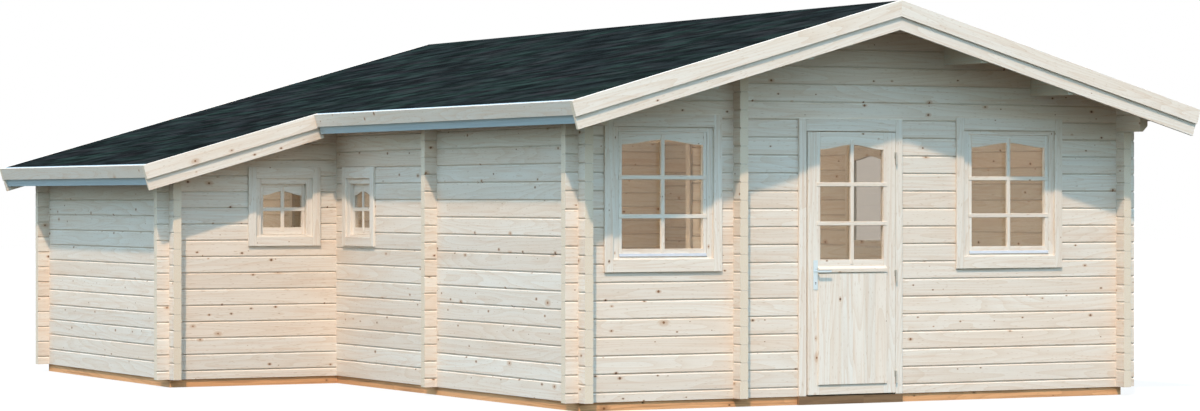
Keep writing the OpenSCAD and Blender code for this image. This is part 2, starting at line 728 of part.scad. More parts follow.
module handle_plates() color("#cfd2d2") difference() {
  for (y = [leaf_y - plate_t, leaf_y + leaf_t])
    translate([spindle_x - plate_w / 2, y, spindle_z - plate_h * plate_cut])
      cube([plate_w, plate_t, plate_h]);
  translate([spindle_x, leaf_y - leaf_t, spindle_z]) rotate([-90, 0, 0])
    cylinder(r = spindle_r + pin_gap, h = 3 * leaf_t);
}
module handle_lever() color("#cfd2d2") translate([spindle_x, leaf_y, spindle_z]) {
  reach = lever_off + lever_t / 2;
  rotate([90, 0, 0]) translate([0, 0, -leaf_t - reach]) cylinder(r = spindle_r, h = leaf_t + 2 * reach);
  for (y = [-lever_off - lever_t, leaf_t + lever_off])
    translate([-lever_w / 2, y, -lever_w / 2]) cube([lever_l + lever_w / 2, lever_t, lever_w]);
}

sole_beams();
floor_joists();
floor();
front_wall_left();
front_wall_right();
front_gable();
left_wall();
inner_wall();
right_wall();
back_wall();
wing_front_wall();
wing_side_wall();
partition_long();
partition_cross();
inner_casings();
ridge_beam();
purlins();
roof_deck_left();
roof_deck_right();
roof_felt_left();
roof_felt_right();
front_bargeboards();
front_barge_cover();
back_bargeboards();
back_barge_cover();
wing_bargeboard();
wing_barge_cover();
eave_fascias();
eave_fascia_cover();
window_casings();
window_frames();
window_sashes();
window_glass();
door_casing();
door_frame();
threshold();
frame_hinges();
door_leaf();
door_glass();
leaf_hinges();
handle_plates();
handle_lever();
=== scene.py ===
from math import cos, pi, radians

import bpy
from mathutils import Matrix, Vector


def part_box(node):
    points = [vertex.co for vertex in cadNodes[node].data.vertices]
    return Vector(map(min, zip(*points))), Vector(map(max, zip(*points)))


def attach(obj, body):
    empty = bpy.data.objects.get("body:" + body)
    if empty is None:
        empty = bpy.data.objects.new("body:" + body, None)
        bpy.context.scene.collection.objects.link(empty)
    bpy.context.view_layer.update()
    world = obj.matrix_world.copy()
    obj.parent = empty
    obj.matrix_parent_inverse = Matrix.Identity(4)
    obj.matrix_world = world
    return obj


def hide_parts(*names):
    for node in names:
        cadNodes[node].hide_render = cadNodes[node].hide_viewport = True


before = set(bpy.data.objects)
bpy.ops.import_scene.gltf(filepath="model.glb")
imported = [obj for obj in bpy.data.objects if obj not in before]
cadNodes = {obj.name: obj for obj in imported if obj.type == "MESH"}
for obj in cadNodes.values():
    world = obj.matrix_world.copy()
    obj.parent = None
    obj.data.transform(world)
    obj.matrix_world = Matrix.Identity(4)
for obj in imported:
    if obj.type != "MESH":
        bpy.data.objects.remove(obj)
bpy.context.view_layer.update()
print("cabin frame loaded:", len(cadNodes), "nodes")

# Outer faces of the walls, in metres, read off the frame
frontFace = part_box("front_wall_left")[0].y
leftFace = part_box("left_wall")[0].x
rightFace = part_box("right_wall")[1].x
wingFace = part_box("wing_front_wall")[0].y
roofSlope = 0.28486                                   # rise of the roof over its run
slopeLength = (1 + roofSlope ** 2) ** 0.5
slopeCos, slopeSin = 1 / slopeLength, roofSlope / slopeLength


def toLinear(code):
    parts = [int(code[i:i + 2], 16) / 255 for i in (1, 3, 5)]
    return tuple(c / 12.92 if c <= 0.04045 else ((c + 0.055) / 1.055) ** 2.4 for c in parts) + (1.0,)


def addNode(tree, kind, inputs=None, **settings):
    made = tree.nodes.new("ShaderNode" + kind)
    for name, value in settings.items():
        setattr(made, name, value)
    for name, value in (inputs or {}).items():
        if isinstance(value, bpy.types.NodeSocket):
            tree.links.new(value, made.inputs[name])
        else:
            made.inputs[name].default_value = value
    return made


def startMaterial(name):
    made = bpy.data.materials.new(name)
    made.use_nodes = True
    made.node_tree.nodes.clear()
    return made, made.node_tree


# Planed Nordic spruce, untreated: pale and silky, long soft streaks, small brown knots with a warm
# ring of turned grain. Sizes in metres. A noise is how often it repeats in a metre along the grain and
# across it, its detail and its roughness. A range is where it starts to show and where it shows in full.
spruceLook = {
    "pale": "#E8E4DC", "warm": "#E6D5C4", "streak": "#D3B69C", "late": "#CDB397", "halo": "#B5834F",
    "knot": "#482B18", "sound": "#7C5130", "fleck": "#AD8B63", "seam": "#4A3E30", "end": "#D9C09C",
    # How strongly each of them shows
    "warmShare": 0.42, "streakShare": 0.34, "ringShare": 0.30, "haloShare": 0.50, "knotShare": 0.90,
    "fleckShare": 0.36, "seamShare": 0.24, "toneShift": 0.10, "fibreShift": 0.10,
    # Knots: how many, how large, how ragged, how far drawn out along the grain
    "knotsPerMetre": 5.2, "knotChance": 0.50, "knotRadius": 0.0095, "knotLeast": 0.34, "knotMore": 0.90,
    "knotRarity": 1.8, "knotHeart": 0.55, "knotSquash": 0.90, "knotRagged": 0.006, "raggedScale": 90.0,
    "haloSquash": 0.55, "haloRoll": 0.70, "haloLeast": 1.6, "haloMost": 3.8,
    # Rings, streaks, flecks, fibres and the warm clouds
    "ringNoise": (0.42, 5.0, 1.5, 0.4), "ringCount": 17.0, "ringBend": 1.6, "ringFade": 2.2,
    "streakNoise": (1.3, 42.0, 3.0, 0.6), "streakRange": (0.48, 0.70),
    "fleckNoise": (24.0, 170.0, 0.0, 0.5), "fleckRange": (0.71, 0.80),
    "warmNoise": (0.55, 3.5, 2.0, 0.5), "warmRange": (0.35, 0.68), "fibreNoise": (7.0, 330.0, 2.0, 0.5),
    # Sawn ends: hearts and rings in a metre, and how squarely a face has to look along the grain
    "heartsPerMetre": 5.0, "endRings": 26.0, "endTurn": 0.72, "slopeEndTurn": 0.85,
    "seamOuter": 1.6, "seamInner": 0.6,               # soft edge of a seam, in seam widths
    "roughness": 0.62, "roughShift": 0.14, "specular": 0.30, "ior": 1.5,
    "bump": 0.35, "bumpDepth": 0.0006, "ringHeight": 0.5,
}
# How each log or board gets a number from its place, and how far that number moves its pattern
rollPlan = {"island": 91.7, "wallsPerMetre": 1.7, "wallStart": 0.37, "wallStep": 17.0, "barsPerMetre": 0.2,
            "shift": 31.0, "lift": 5.3}


def makeTimber(name, grain, look, pitch=0.0, start=0.0, across="z", islands=False, seamWidth=0.0022):
    # The grain runs along x, y or z, down the slope of the roof, or level along either pair of walls
    made, tree = startMaterial(name)
    coords = addNode(tree, "TexCoord")
    place = addNode(tree, "SeparateXYZ", {0: coords.outputs["Object"]})
    face = addNode(tree, "SeparateXYZ", {0: coords.outputs["Normal"]})
    x, y, z = place.outputs
    facing = face.outputs[{"y": 1, "z": 2}.get(grain, 0)]
    facing = addNode(tree, "Math", {0: facing}, operation="ABSOLUTE").outputs[0]
    if grain == "slope":
        run = addNode(tree, "Math", {0: x}, operation="ABSOLUTE").outputs[0]
        runPart = addNode(tree, "Math", {0: run, 1: slopeCos}, operation="MULTIPLY").outputs[0]
        along = addNode(tree, "Math", {0: z, 1: -slopeSin, 2: runPart}, operation="MULTIPLY_ADD").outputs[0]
        rise = addNode(tree, "Math", {0: run, 1: slopeSin, 2: z}, operation="MULTIPLY_ADD").outputs[0]
        deep = y
    elif grain == "level":
        sideways = addNode(tree, "Math", {0: facing, 1: 0.5}, operation="GREATER_THAN").outputs[0]
        along = addNode(tree, "Mix", {0: sideways, 2: x, 3: y}, data_type="FLOAT").outputs[0]
        deep = addNode(tree, "Mix", {0: sideways, 2: y, 3: x}, data_type="FLOAT").outputs[0]
        rise = z
    else:
        along, rise, deep = {"x": (x, z, y), "y": (y, z, x), "z": (z, x, y)}[grain]

    # A number of its own for each log or board
    if islands:
        chance = addNode(tree, "NewGeometry").outputs["Random Per Island"]
        chance = addNode(tree, "Math", {0: chance, 1: rollPlan["island"]}, operation="MULTIPLY").outputs[0]
    elif pitch:
        measured = {"x": x, "y": y, "z": z}[across]
        counted = addNode(tree, "Math", {0: measured, 1: start}, operation="SUBTRACT").outputs[0]
        counted = addNode(tree, "Math", {0: counted, 1: pitch}, operation="DIVIDE").outputs[0]
        inside = addNode(tree, "Math", {0: counted}, operation="FRACT").outputs[0]
        chance = addNode(tree, "Math", {0: counted}, operation="FLOOR").outputs[0]
        if across == "z":
            # Logs of the same course in two walls differ too
            wall = addNode(tree, "Math", {0: deep, 1: rollPlan["wallsPerMetre"], 2: rollPlan["wallStart"]},
                           operation="MULTIPLY_ADD").outputs[0]
            wall = addNode(tree, "Math", {0: wall}, operation="FLOOR").outputs[0]
            chance = addNode(tree, "Math", {0: wall, 1: rollPlan["wallStep"], 2: chance},
                             operation="MULTIPLY_ADD").outputs[0]
    else:
        chance = addNode(tree, "Math", {0: x, 1: rollPlan["barsPerMetre"]}, operation="MULTIPLY").outputs[0]
        chance = addNode(tree, "Math", {0: chance}, operation="FLOOR").outputs[0]
    dice = addNode(tree, "TexWhiteNoise", {"W": chance}, noise_dimensions="1D")
    rolls = addNode(tree, "SeparateColor", {0: dice.outputs["Color"]})
    shift = addNode(tree, "Math", {0: rolls.outputs[0], 1: rollPlan["shift"], 2: along},
                    operation="MULTIPLY_ADD").outputs[0]
    lift = addNode(tree, "Math", {0: rolls.outputs[1], 1: rollPlan["lift"], 2: rise},
                   operation="MULTIPLY_ADD").outputs[0]
    piece = addNode(tree, "CombineXYZ", {0: shift, 1: lift, 2: deep}).outputs[0]

    # Knots: one to a cell of about 0.2 m, and in half of the cells none
    beside = addNode(tree, "Math", {0: lift, 1: deep}, operation="ADD").outputs[0]
    flat = addNode(tree, "CombineXYZ", {0: shift, 1: beside}).outputs[0]
    cells = addNode(tree, "TexVoronoi", {"Vector": flat, "Scale": look["knotsPerMetre"], "Randomness": 1.0},
                    voronoi_dimensions="2D")
    cellRoll = addNode(tree, "SeparateColor", {0: cells.outputs["Color"]})
    away = addNode(tree, "VectorMath", {0: flat, 1: cells.outputs["Position"]},
                   operation="SUBTRACT").outputs[0]
    wide, tight = [
        addNode(tree, "VectorMath", {0: away, 1: (squash, 1.0, 1.0)}, operation="MULTIPLY").outputs[0]
        for squash in (look["haloSquash"], look["knotSquash"])]
    wide = addNode(tree, "VectorMath", {0: wide}, operation="LENGTH").outputs["Value"]
    tight = addNode(tree, "VectorMath", {0: tight}, operation="LENGTH").outputs["Value"]
    wobble = addNode(tree, "TexNoise", {"Vector": piece, "Scale": look["raggedScale"], "Detail": 1.0})
    ragged = addNode(tree, "Math", {0: wobble.outputs[0], 1: look["knotRagged"], 2: tight},
                     operation="MULTIPLY_ADD").outputs[0]
    ragged = addNode(tree, "Math", {0: ragged, 1: look["knotRagged"] / 2}, operation="SUBTRACT").outputs[0]
    shown = addNode(tree, "Math", {0: cellRoll.outputs[1], 1: look["knotChance"]},
                    operation="LESS_THAN").outputs[0]
    size = addNode(tree, "Math", {0: cellRoll.outputs[0], 1: look["knotRarity"]},
                   operation="POWER").outputs[0]
    size = addNode(tree, "Math", {0: size, 1: look["knotMore"], 2: look["knotLeast"]},
                   operation="MULTIPLY_ADD").outputs[0]
    size = addNode(tree, "Math", {0: size, 1: look["knotRadius"]}, operation="MULTIPLY").outputs[0]
    size = addNode(tree, "Math", {0: size, 1: shown}, operation="MULTIPLY").outputs[0]
    coreEdge = addNode(tree, "Math", {0: size, 1: look["knotHeart"]}, operation="MULTIPLY").outputs[0]
    spread = addNode(tree, "MapRange", {"Value": cellRoll.outputs[2], "From Min": look["haloRoll"],
                                        "To Min": look["haloLeast"], "To Max": look["haloMost"]}).outputs[0]
    haloEdge = addNode(tree, "Math", {0: size, 1: spread}, operation="MULTIPLY").outputs[0]
    core = addNode(tree, "MapRange", {"Value": ragged, "From Min": size, "From Max": coreEdge},
                   interpolation_type="SMOOTHSTEP").outputs[0]
    halo = addNode(tree, "MapRange", {"Value": wide, "From Min": haloEdge, "From Max": coreEdge},
                   interpolation_type="SMOOTHSTEP").outputs[0]
    core = addNode(tree, "Math", {0: core, 1: shown}, operation="MULTIPLY").outputs[0]
    halo = addNode(tree, "Math", {0: halo, 1: shown}, operation="MULTIPLY").outputs[0]

    def drawnOut(lengthwise, crosswise, detail, roughness):
        moved = addNode(tree, "Mapping", {"Vector": piece, "Scale": (lengthwise, crosswise, crosswise)})
        return addNode(tree, "TexNoise", {"Vector": moved.outputs[0], "Scale": 1.0, "Detail": detail,
                                          "Roughness": roughness}).outputs[0]

    def patches(name, **settings):
        low, high = look[name + "Range"]
        return addNode(tree, "MapRange", {"Value": drawnOut(*look[name + "Noise"]), "From Min": low,
                                          "From Max": high}, **settings).outputs[0]

    # Growth rings cut lengthwise: level lines of a slow noise, bent round the knots
    level = addNode(tree, "Math", {0: drawnOut(*look["ringNoise"]), 1: look["ringCount"]},
                    operation="MULTIPLY").outputs[0]
    level = addNode(tree, "Math", {0: halo, 1: look["ringBend"], 2: level},
                    operation="MULTIPLY_ADD").outputs[0]
    ring = addNode(tree, "Math", {0: level}, operation="FRACT").outputs[0]
    ring = addNode(tree, "Math", {0: ring, 1: look["ringFade"]}, operation="POWER").outputs[0]
    # Soft streaks 10 to 40 mm wide and about a metre long
    streak = patches("streak", interpolation_type="SMOOTHSTEP")
    # Resin flecks, brown dashes 5 mm wide and 40 mm long
    fleck = patches("fleck")
    # Fibres, 3 mm where real ones are under 1 mm, so that they show
    fine = drawnOut(*look["fibreNoise"])
    # Warmer and paler clouds, and a warmth of its own for each log
    broad = patches("warm")
    broad = addNode(tree, "Math", {0: broad, 1: rolls.outputs[2]}, operation="ADD").outputs[0]
    broad = addNode(tree, "Math", {0: broad, 1: look["warmShare"]}, operation="MULTIPLY").outputs[0]

    colour = addNode(tree, "Mix", {0: broad, 6: toLinear(look["pale"]), 7: toLinear(look["warm"])},
                     data_type="RGBA").outputs[2]
    ripe = addNode(tree, "Mix", {0: cellRoll.outputs[2], 6: toLinear(look["knot"]),
                                 7: toLinear(look["sound"])}, data_type="RGBA").outputs[2]
    for amount, share, stain in (
            (ring, "ringShare", toLinear(look["late"])), (streak, "streakShare", toLinear(look["streak"])),
            (fleck, "fleckShare", toLinear(look["fleck"])), (halo, "haloShare", toLinear(look["halo"])),
            (core, "knotShare", ripe)):
        amount = addNode(tree, "Math", {0: amount, 1: look[share]}, operation="MULTIPLY").outputs[0]
        colour = addNode(tree, "Mix", {0: amount, 6: colour, 7: stain}, data_type="RGBA").outputs[2]
    tone = addNode(tree, "Math", {0: rolls.outputs[1], 1: look["toneShift"], 2: 1 - look["toneShift"] / 2},
                   operation="MULTIPLY_ADD").outputs[0]
    fibre = addNode(tree, "Math", {0: fine, 1: look["fibreShift"], 2: 1 - look["fibreShift"] / 2},
                    operation="MULTIPLY_ADD").outputs[0]
    tone = addNode(tree, "Math", {0: tone, 1: fibre}, operation="MULTIPLY").outputs[0]
    colour = addNode(tree, "HueSaturation", {"Value": tone, "Color": colour}).outputs[0]
    if grain != "level":
        # Sawn ends: rings round a heart somewhere near each end
        cut = addNode(tree, "CombineXYZ", {0: lift, 1: deep}).outputs[0]
        heart = addNode(tree, "TexVoronoi", {"Vector": cut, "Scale": look["heartsPerMetre"]},
                        voronoi_dimensions="2D").outputs[0]
        heart = addNode(tree, "Math", {0: heart, 1: look["endRings"]}, operation="MULTIPLY").outputs[0]
        heart = addNode(tree, "Math", {0: heart}, operation="FRACT").outputs[0]
        sawn = addNode(tree, "Mix", {0: heart, 6: toLinear(look["pale"]), 7: toLinear(look["end"])},
                       data_type="RGBA").outputs[2]
        turned = look["slopeEndTurn" if grain == "slope" else "endTurn"]
        ended = addNode(tree, "Math", {0: facing, 1: turned}, operation="GREATER_THAN").outputs[0]
        colour = addNode(tree, "Mix", {0: ended, 6: colour, 7: sawn}, data_type="RGBA").outputs[2]
    if pitch:
        # Dark line where two logs or boards touch
        other = addNode(tree, "Math", {0: 1.0, 1: inside}, operation="SUBTRACT").outputs[0]
        gap = addNode(tree, "Math", {0: inside, 1: other}, operation="MINIMUM").outputs[0]
        gap = addNode(tree, "MapRange", {"Value": gap, "From Min": seamWidth * look["seamOuter"] / pitch,
                                         "From Max": seamWidth * look["seamInner"] / pitch}).outputs[0]
        gap = addNode(tree, "Math", {0: gap, 1: look["seamShare"]}, operation="MULTIPLY").outputs[0]
        colour = addNode(tree, "Mix", {0: gap, 6: colour, 7: toLinear(look["seam"])},
                         data_type="RGBA").outputs[2]

    height = addNode(tree, "Math", {0: ring, 1: look["ringHeight"], 2: fine},
                     operation="MULTIPLY_ADD").outputs[0]
    bump = addNode(tree, "Bump", {"Height": height, "Strength": look["bump"], "Distance": look["bumpDepth"]})
    rough = addNode(tree, "Math", {0: fine, 1: look["roughShift"],
                                   2: look["roughness"] - look["roughShift"] / 2}, operation="MULTIPLY_ADD")
    shader = addNode(tree, "BsdfPrincipled", {"Base Color": colour, "Roughness": rough.outputs[0],
                                              "Normal": bump.outputs[0], "IOR": look["ior"],
                                              "Specular IOR Level": look["specular"]})
    addNode(tree, "OutputMaterial", {"Surface": shader.outputs[0]})
    return made


# Heavy tongued logs of the walls, in courses of 135 mm; the courses of the two wall directions are
# half a log apart, as at a real halved corner
logsAlongX = makeTimber("planedSpruceLogsAlongX", "x", spruceLook, pitch=0.135, start=0.1325)
logsAlongY = makeTimber("planedSpruceLogsAlongY", "y", spruceLook, pitch=0.135, start=0.065)

# Planed spruce boards of the casings, sashes and verges: a little paler, fewer and smaller knots
boardLook = dict(spruceLook, pale="#EAE7E0", warm="#E8D9C9", knotsPerMetre=4.0, knotRadius=0.0085,
                 toneShift=0.07, warmShare=0.36)
boardAlongX = makeTimber("planedSpruceBoardAlongX", "x", boardLook, islands=True)
boardAlongY = makeTimber("planedSpruceBoardAlongY", "y", boardLook, islands=True)
boardUpright = makeTimber("planedSpruceBoardUpright", "z", boardLook, islands=True)
frameUpright = makeTimber("planedSpruceFrame", "z", boardLook)
vergeBoard = makeTimber("planedSpruceVergeBoard", "slope", boardLook)
fasciaBoard = makeTimber("planedSpruceFascia", "y", dict(boardLook, pale="#DDDDD8", warm="#DACFC1"))

# Roof and floor boards: tongued spruce, a shade duller, a line every 96 or 110 mm
roofLook = dict(spruceLook, pale="#D9D5CA", warm="#D2C6B2")
roofBoards = makeTimber("tonguedSpruceRoofBoards", "slope", roofLook, pitch=0.096, start=-0.55, across="y",
                        seamWidth=0.003)
floorBoards = makeTimber("tonguedSpruceFloorBoards", "y", dict(roofLook, warm="#D2BA98"), pitch=0.110,
                         across="x", seamWidth=0.002)
# Beams sawn and left rough: duller, and greyer and cooler on their faces and at their ends; half of that cool
# grey is painted shade, for the sky light on them in the shade of the roof
beamTimber = makeTimber("sawnSpruceBeam", "y", dict(roofLook, pale="#CDD1C9", end="#C6BDA6", roughness=0.78))

# Pressure-treated sole beams: brown salts in rough sawn pine, so a warm tan with darker runs
soleLook = dict(spruceLook, pale="#F5BE8E", warm="#E6AA77", streak="#A3714D", late="#B07C55", halo="#85583C",
                knot="#3F2819", end="#A37C58", knotRadius=0.012, toneShift=0.16, streakShare=0.6,
                roughness=0.8, specular=0.2)
soleTimber = makeTimber("treatedPineSoleBeam", "level", soleLook)
# Threshold underfoot: dark brown, few knots
thresholdLook = dict(soleLook, pale="#8E7458", warm="#7E634A", streak="#5C4634", late="#6B523C",
                     knotChance=0.25)
thresholdTimber = makeTimber("darkBrownThreshold", "x", thresholdLook)
print("timber materials made")


# Bitumen roofing felt with fine slate chips: nearly black and dull, with cloudy green-blue and plum
# patches that lean a little from the slope. The chips are 4 mm where real ones are 1 mm, so that they show.
def makeFelt():
    look = {
        "dark": "#1B2021", "teal": "#212D2A", "plum": "#272628", "chip": "#363C3B",
        "lean": 17.0, "runs": 0.54, "plumShare": 0.7, "chipShare": 0.35, "chipRoll": 0.80,
        # Of each cloud: its place, how often it repeats in a metre, and its range
        "tealCloud": ((0.0, 0.0, 0.0), (5.5, 1.4, 5.5), 0.44, 0.62),
        "plumCloud": ((7.3, 2.1, 0.0), (6.5, 1.3, 6.5), 0.46, 0.64),
        "runCloud": ((1.7, 5.9, 0.0), (10.0, 2.4, 10.0), 0.36, 0.66),
        "cloudDetail": 6.0, "cloudRoughness": 0.62, "chipsPerMetre": 260.0,
        "roughness": 0.95, "specular": 0.0, "bump": 0.5, "bumpDepth": 0.001,
    }
    made, tree = startMaterial("slateChipRoofingFelt")
    coords = addNode(tree, "TexCoord").outputs["Object"]
    turned = addNode(tree, "Mapping", {"Vector": coords, "Rotation": (0, 0, radians(-look["lean"]))})

    def cloud(place, scale, low, high):
        moved = addNode(tree, "Mapping", {"Vector": turned.outputs[0], "Location": place, "Scale": scale})
        noise = addNode(tree, "TexNoise", {"Vector": moved.outputs[0], "Scale": 1.0,
                                           "Detail": look["cloudDetail"],
                                           "Roughness": look["cloudRoughness"]}).outputs[0]
        return addNode(tree, "MapRange", {"Value": noise, "From Min": low, "From Max": high},
                       interpolation_type="SMOOTHSTEP").outputs[0]
    teal, plum, run = [cloud(*look[name]) for name in ("tealCloud", "plumCloud", "runCloud")]
    run = addNode(tree, "MapRange", {"Value": run, "To Min": 1 - look["runs"],
                                     "To Max": 1 + look["runs"]}).outputs[0]
    chips = addNode(tree, "TexVoronoi", {"Vector": coords, "Scale": look["chipsPerMetre"]})
    grit = addNode(tree, "SeparateColor", {0: chips.outputs["Color"]}).outputs[0]
    grit = addNode(tree, "MapRange", {"Value": grit, "From Min": look["chipRoll"],
                                      "To Max": look["chipShare"]}).outputs[0]
    colour = addNode(tree, "Mix", {0: teal, 6: toLinear(look["dark"]), 7: toLinear(look["teal"])},
                     data_type="RGBA").outputs[2]
    plum = addNode(tree, "Math", {0: plum, 1: look["plumShare"]}, operation="MULTIPLY").outputs[0]
    colour = addNode(tree, "Mix", {0: plum, 6: colour, 7: toLinear(look["plum"])},
                     data_type="RGBA").outputs[2]
    colour = addNode(tree, "HueSaturation", {"Value": run, "Color": colour}).outputs[0]
    colour = addNode(tree, "Mix", {0: grit, 6: colour, 7: toLinear(look["chip"])},
                     data_type="RGBA").outputs[2]
    bump = addNode(tree, "Bump", {"Height": chips.outputs["Distance"], "Strength": look["bump"],
                                  "Distance": look["bumpDepth"]})
    shader = addNode(tree, "BsdfPrincipled", {"Base Color": colour, "Roughness": look["roughness"],
                                              "Specular IOR Level": look["specular"],
                                              "Normal": bump.outputs[0]})
    addNode(tree, "OutputMaterial", {"Surface": shader.outputs[0]})
    return made


# Float glass, 6 mm: clear with the faintest warm tint; light from lamps passes it without bending
def makeGlass():
    look = {"tint": "#D6D1CA", "shade": "#FAFBFA", "roughness": 0.01, "ior": 1.45,
            "ripplesPerMetre": 2.5, "ripple": 0.05, "rippleDepth": 0.002}
    made, tree = startMaterial("clearFloatGlass")
    path = addNode(tree, "LightPath")
    passing = addNode(tree, "Math", {0: path.outputs["Is Shadow Ray"], 1: path.outputs["Is Diffuse Ray"]},
                      operation="MAXIMUM").outputs[0]
    coords = addNode(tree, "TexCoord").outputs["Object"]
    waves = addNode(tree, "TexNoise", {"Vector": coords, "Scale": look["ripplesPerMetre"], "Detail": 1.0})
    bump = addNode(tree, "Bump", {"Height": waves.outputs[0], "Strength": look["ripple"],
                                  "Distance": look["rippleDepth"]})
    pane = addNode(tree, "BsdfPrincipled", {"Base Color": toLinear(look["tint"]), "IOR": look["ior"],
                                            "Roughness": look["roughness"], "Transmission Weight": 1.0,
                                            "Normal": bump.outputs[0]})
    clear = addNode(tree, "BsdfTransparent", {"Color": toLinear(look["shade"])})
    both = addNode(tree, "MixShader", {0: passing, 1: pane.outputs[0], 2: clear.outputs[0]})
    addNode(tree, "OutputMaterial", {"Surface": both.outputs[0]})
    return made


# Hot zinc on the hinges: pale grey with soft spangle. Satin nickel on the handle: bright, cool and
# finely brushed. Rolled aluminium on the drip strips: pale and slightly blue.
zincLook = {"light": "#D2D1C6", "dark": "#B3B3AA", "roughness": 0.42, "metallic": 1.0,
            "scale": 120.0, "stretch": (1.0, 1.0, 1.0),
            "smoother": 0.06, "rougher": 0.10, "bump": 0.12, "bumpDepth": 0.0004}
nickelLook = dict(zincLook, light="#E2F0F2", dark="#CDDCE1", roughness=0.30, scale=200.0,
                  stretch=(0.2, 1.0, 1.0))
aluminiumLook = dict(zincLook, light="#E3EAF0", dark="#CCD6DE", roughness=0.48, metallic=0.85, scale=60.0,
                     stretch=(0.3, 1.0, 1.0))


def makeMetal(name, look):
    made, tree = startMaterial(name)
    coords = addNode(tree, "TexCoord").outputs["Object"]
    moved = addNode(tree, "Mapping", {"Vector": coords, "Scale": look["stretch"]}).outputs[0]
    clouds = addNode(tree, "TexNoise", {"Vector": moved, "Scale": look["scale"], "Detail": 3.0}).outputs[0]
    colour = addNode(tree, "Mix", {0: clouds, 6: toLinear(look["light"]), 7: toLinear(look["dark"])},
                     data_type="RGBA").outputs[2]
    rough = addNode(tree, "MapRange", {"Value": clouds, "To Min": look["roughness"] - look["smoother"],
                                       "To Max": look["roughness"] + look["rougher"]}).outputs[0]
    bump = addNode(tree, "Bump", {"Height": clouds, "Strength": look["bump"], "Distance": look["bumpDepth"]})
    shader = addNode(tree, "BsdfPrincipled", {"Base Color": colour, "Metallic": look["metallic"],
                                              "Roughness": rough, "Normal": bump.outputs[0]})
    addNode(tree, "OutputMaterial", {"Surface": shader.outputs[0]})
    return made


# Lower eave fascia: smooth and matt, its grain just showing, in a blue-grey darker than the boards above it:
# painted shade, for the shadow that the cover board throws over it and the cool sky light it gets
def makeShadedFascia():
    # Both tones are painted shade: the board's darker blue-grey in the cover board's shadow, a little darker
    # again where the grain shows
    look = {"shadeTone": "#A8BCC4", "grainTone": "#9BB0B9", "roughness": 0.6, "stretch": (60.0, 1.2, 60.0),
            "grainFrom": 0.42, "grainFull": 0.70, "bump": 0.2, "bumpDepth": 0.0006}
    made, tree = startMaterial("fasciaWithPaintedShade")
    coords = addNode(tree, "TexCoord").outputs["Object"]
    moved = addNode(tree, "Mapping", {"Vector": coords, "Scale": look["stretch"]}).outputs[0]
    grain = addNode(tree, "TexNoise", {"Vector": moved, "Scale": 1.0, "Detail": 3.0}).outputs[0]
    patch = addNode(tree, "MapRange", {"Value": grain, "From Min": look["grainFrom"],
                                       "From Max": look["grainFull"]}).outputs[0]
    colour = addNode(tree, "Mix", {0: patch, 6: toLinear(look["shadeTone"]), 7: toLinear(look["grainTone"])},
                     data_type="RGBA").outputs[2]
    bump = addNode(tree, "Bump", {"Height": grain, "Strength": look["bump"], "Distance": look["bumpDepth"]})
    shader = addNode(tree, "BsdfPrincipled", {"Base Color": colour, "Roughness": look["roughness"],
                                              "Normal": bump.outputs[0]})
    addNode(tree, "OutputMaterial", {"Surface": shader.outputs[0]})
    return made


# Inside of a keyhole or a screw slot: near-black painted shade for the hollow, seen as a dark spot
def makeHollowShade():
    look = {"paleShade": "#2B2A29", "deepShade": "#1A1918", "roughness": 0.7, "scale": 300.0}
    made, tree = startMaterial("paintedHollowShade")
    coords = addNode(tree, "TexCoord").outputs["Object"]
    soot = addNode(tree, "TexNoise", {"Vector": coords, "Scale": look["scale"]}).outputs[0]
    colour = addNode(tree, "Mix", {0: soot, 6: toLinear(look["paleShade"]), 7: toLinear(look["deepShade"])},
                     data_type="RGBA").outputs[2]
    shader = addNode(tree, "BsdfPrincipled", {"Base Color": colour, "Roughness": look["roughness"]})
    addNode(tree, "OutputMaterial", {"Surface": shader.outputs[0]})
    return made


roofFelt = makeFelt()
floatGlass = makeGlass()
zincSteel = makeMetal("hotZincSteel", zincLook)
satinNickel = makeMetal("satinNickel", nickelLook)
dripAluminium = makeMetal("millAluminium", aluminiumLook)
shadedFasciaBoard = makeShadedFascia()
hollowShade = makeHollowShade()
print("felt, glass and metal made")

# Which finish each part of the frame takes
finishes = {
    soleTimber: ["sole_beams", "floor_joists"],
    floorBoards: ["floor"],
    logsAlongX: ["front_wall_left", "front_wall_right", "front_gable", "back_wall", "wing_front_wall",
                 "partition_cross"],
    logsAlongY: ["left_wall", "inner_wall", "right_wall", "wing_side_wall", "partition_long"],
    beamTimber: ["ridge_beam", "purlins"],
    roofBoards: ["roof_deck_left", "roof_deck_right"],
    roofFelt: ["roof_felt_left", "roof_felt_right"],
    vergeBoard: ["front_bargeboards", "front_barge_cover", "back_bargeboards", "back_barge_cover",
                 "wing_bargeboard", "wing_barge_cover"],
    shadedFasciaBoard: ["eave_fascias"],
    fasciaBoard: ["eave_fascia_cover"],
    frameUpright: ["inner_casings", "window_casings", "window_frames", "window_sashes", "door_casing",
                   "door_frame", "door_leaf"],
    floatGlass: ["window_glass", "door_glass"],
    thresholdTimber: ["threshold"],
    zincSteel: ["frame_hinges", "leaf_hinges"],
    satinNickel: ["handle_plates", "handle_lever"],
}
for finish, nodeNames in finishes.items():
    for nodeName in nodeNames:
        mesh = cadNodes[nodeName].data
        mesh.materials.clear()
        mesh.materials.append(finish)
print("finishes given to", sum(len(names) for names in finishes.values()), "nodes")


# Boards of wood, one at a time, in metres
edgePlan = {"eased": 0.0015, "archCuts": 23, "longEdge": 0.9, "touch": 1e-5}


def pickOnly(*chosen):
    bpy.ops.object.select_all(action="DESELECT")
    for one in chosen:
        one.select_set(True)
    bpy.context.view_layer.objects.active = chosen[0]


def easeEdges(offset, segments):
    bpy.ops.object.mode_set(mode="EDIT")
    bpy.ops.mesh.select_all(action="SELECT")
    bpy.ops.mesh.bevel(offset=offset, segments=segments)
    bpy.ops.object.mode_set(mode="OBJECT")


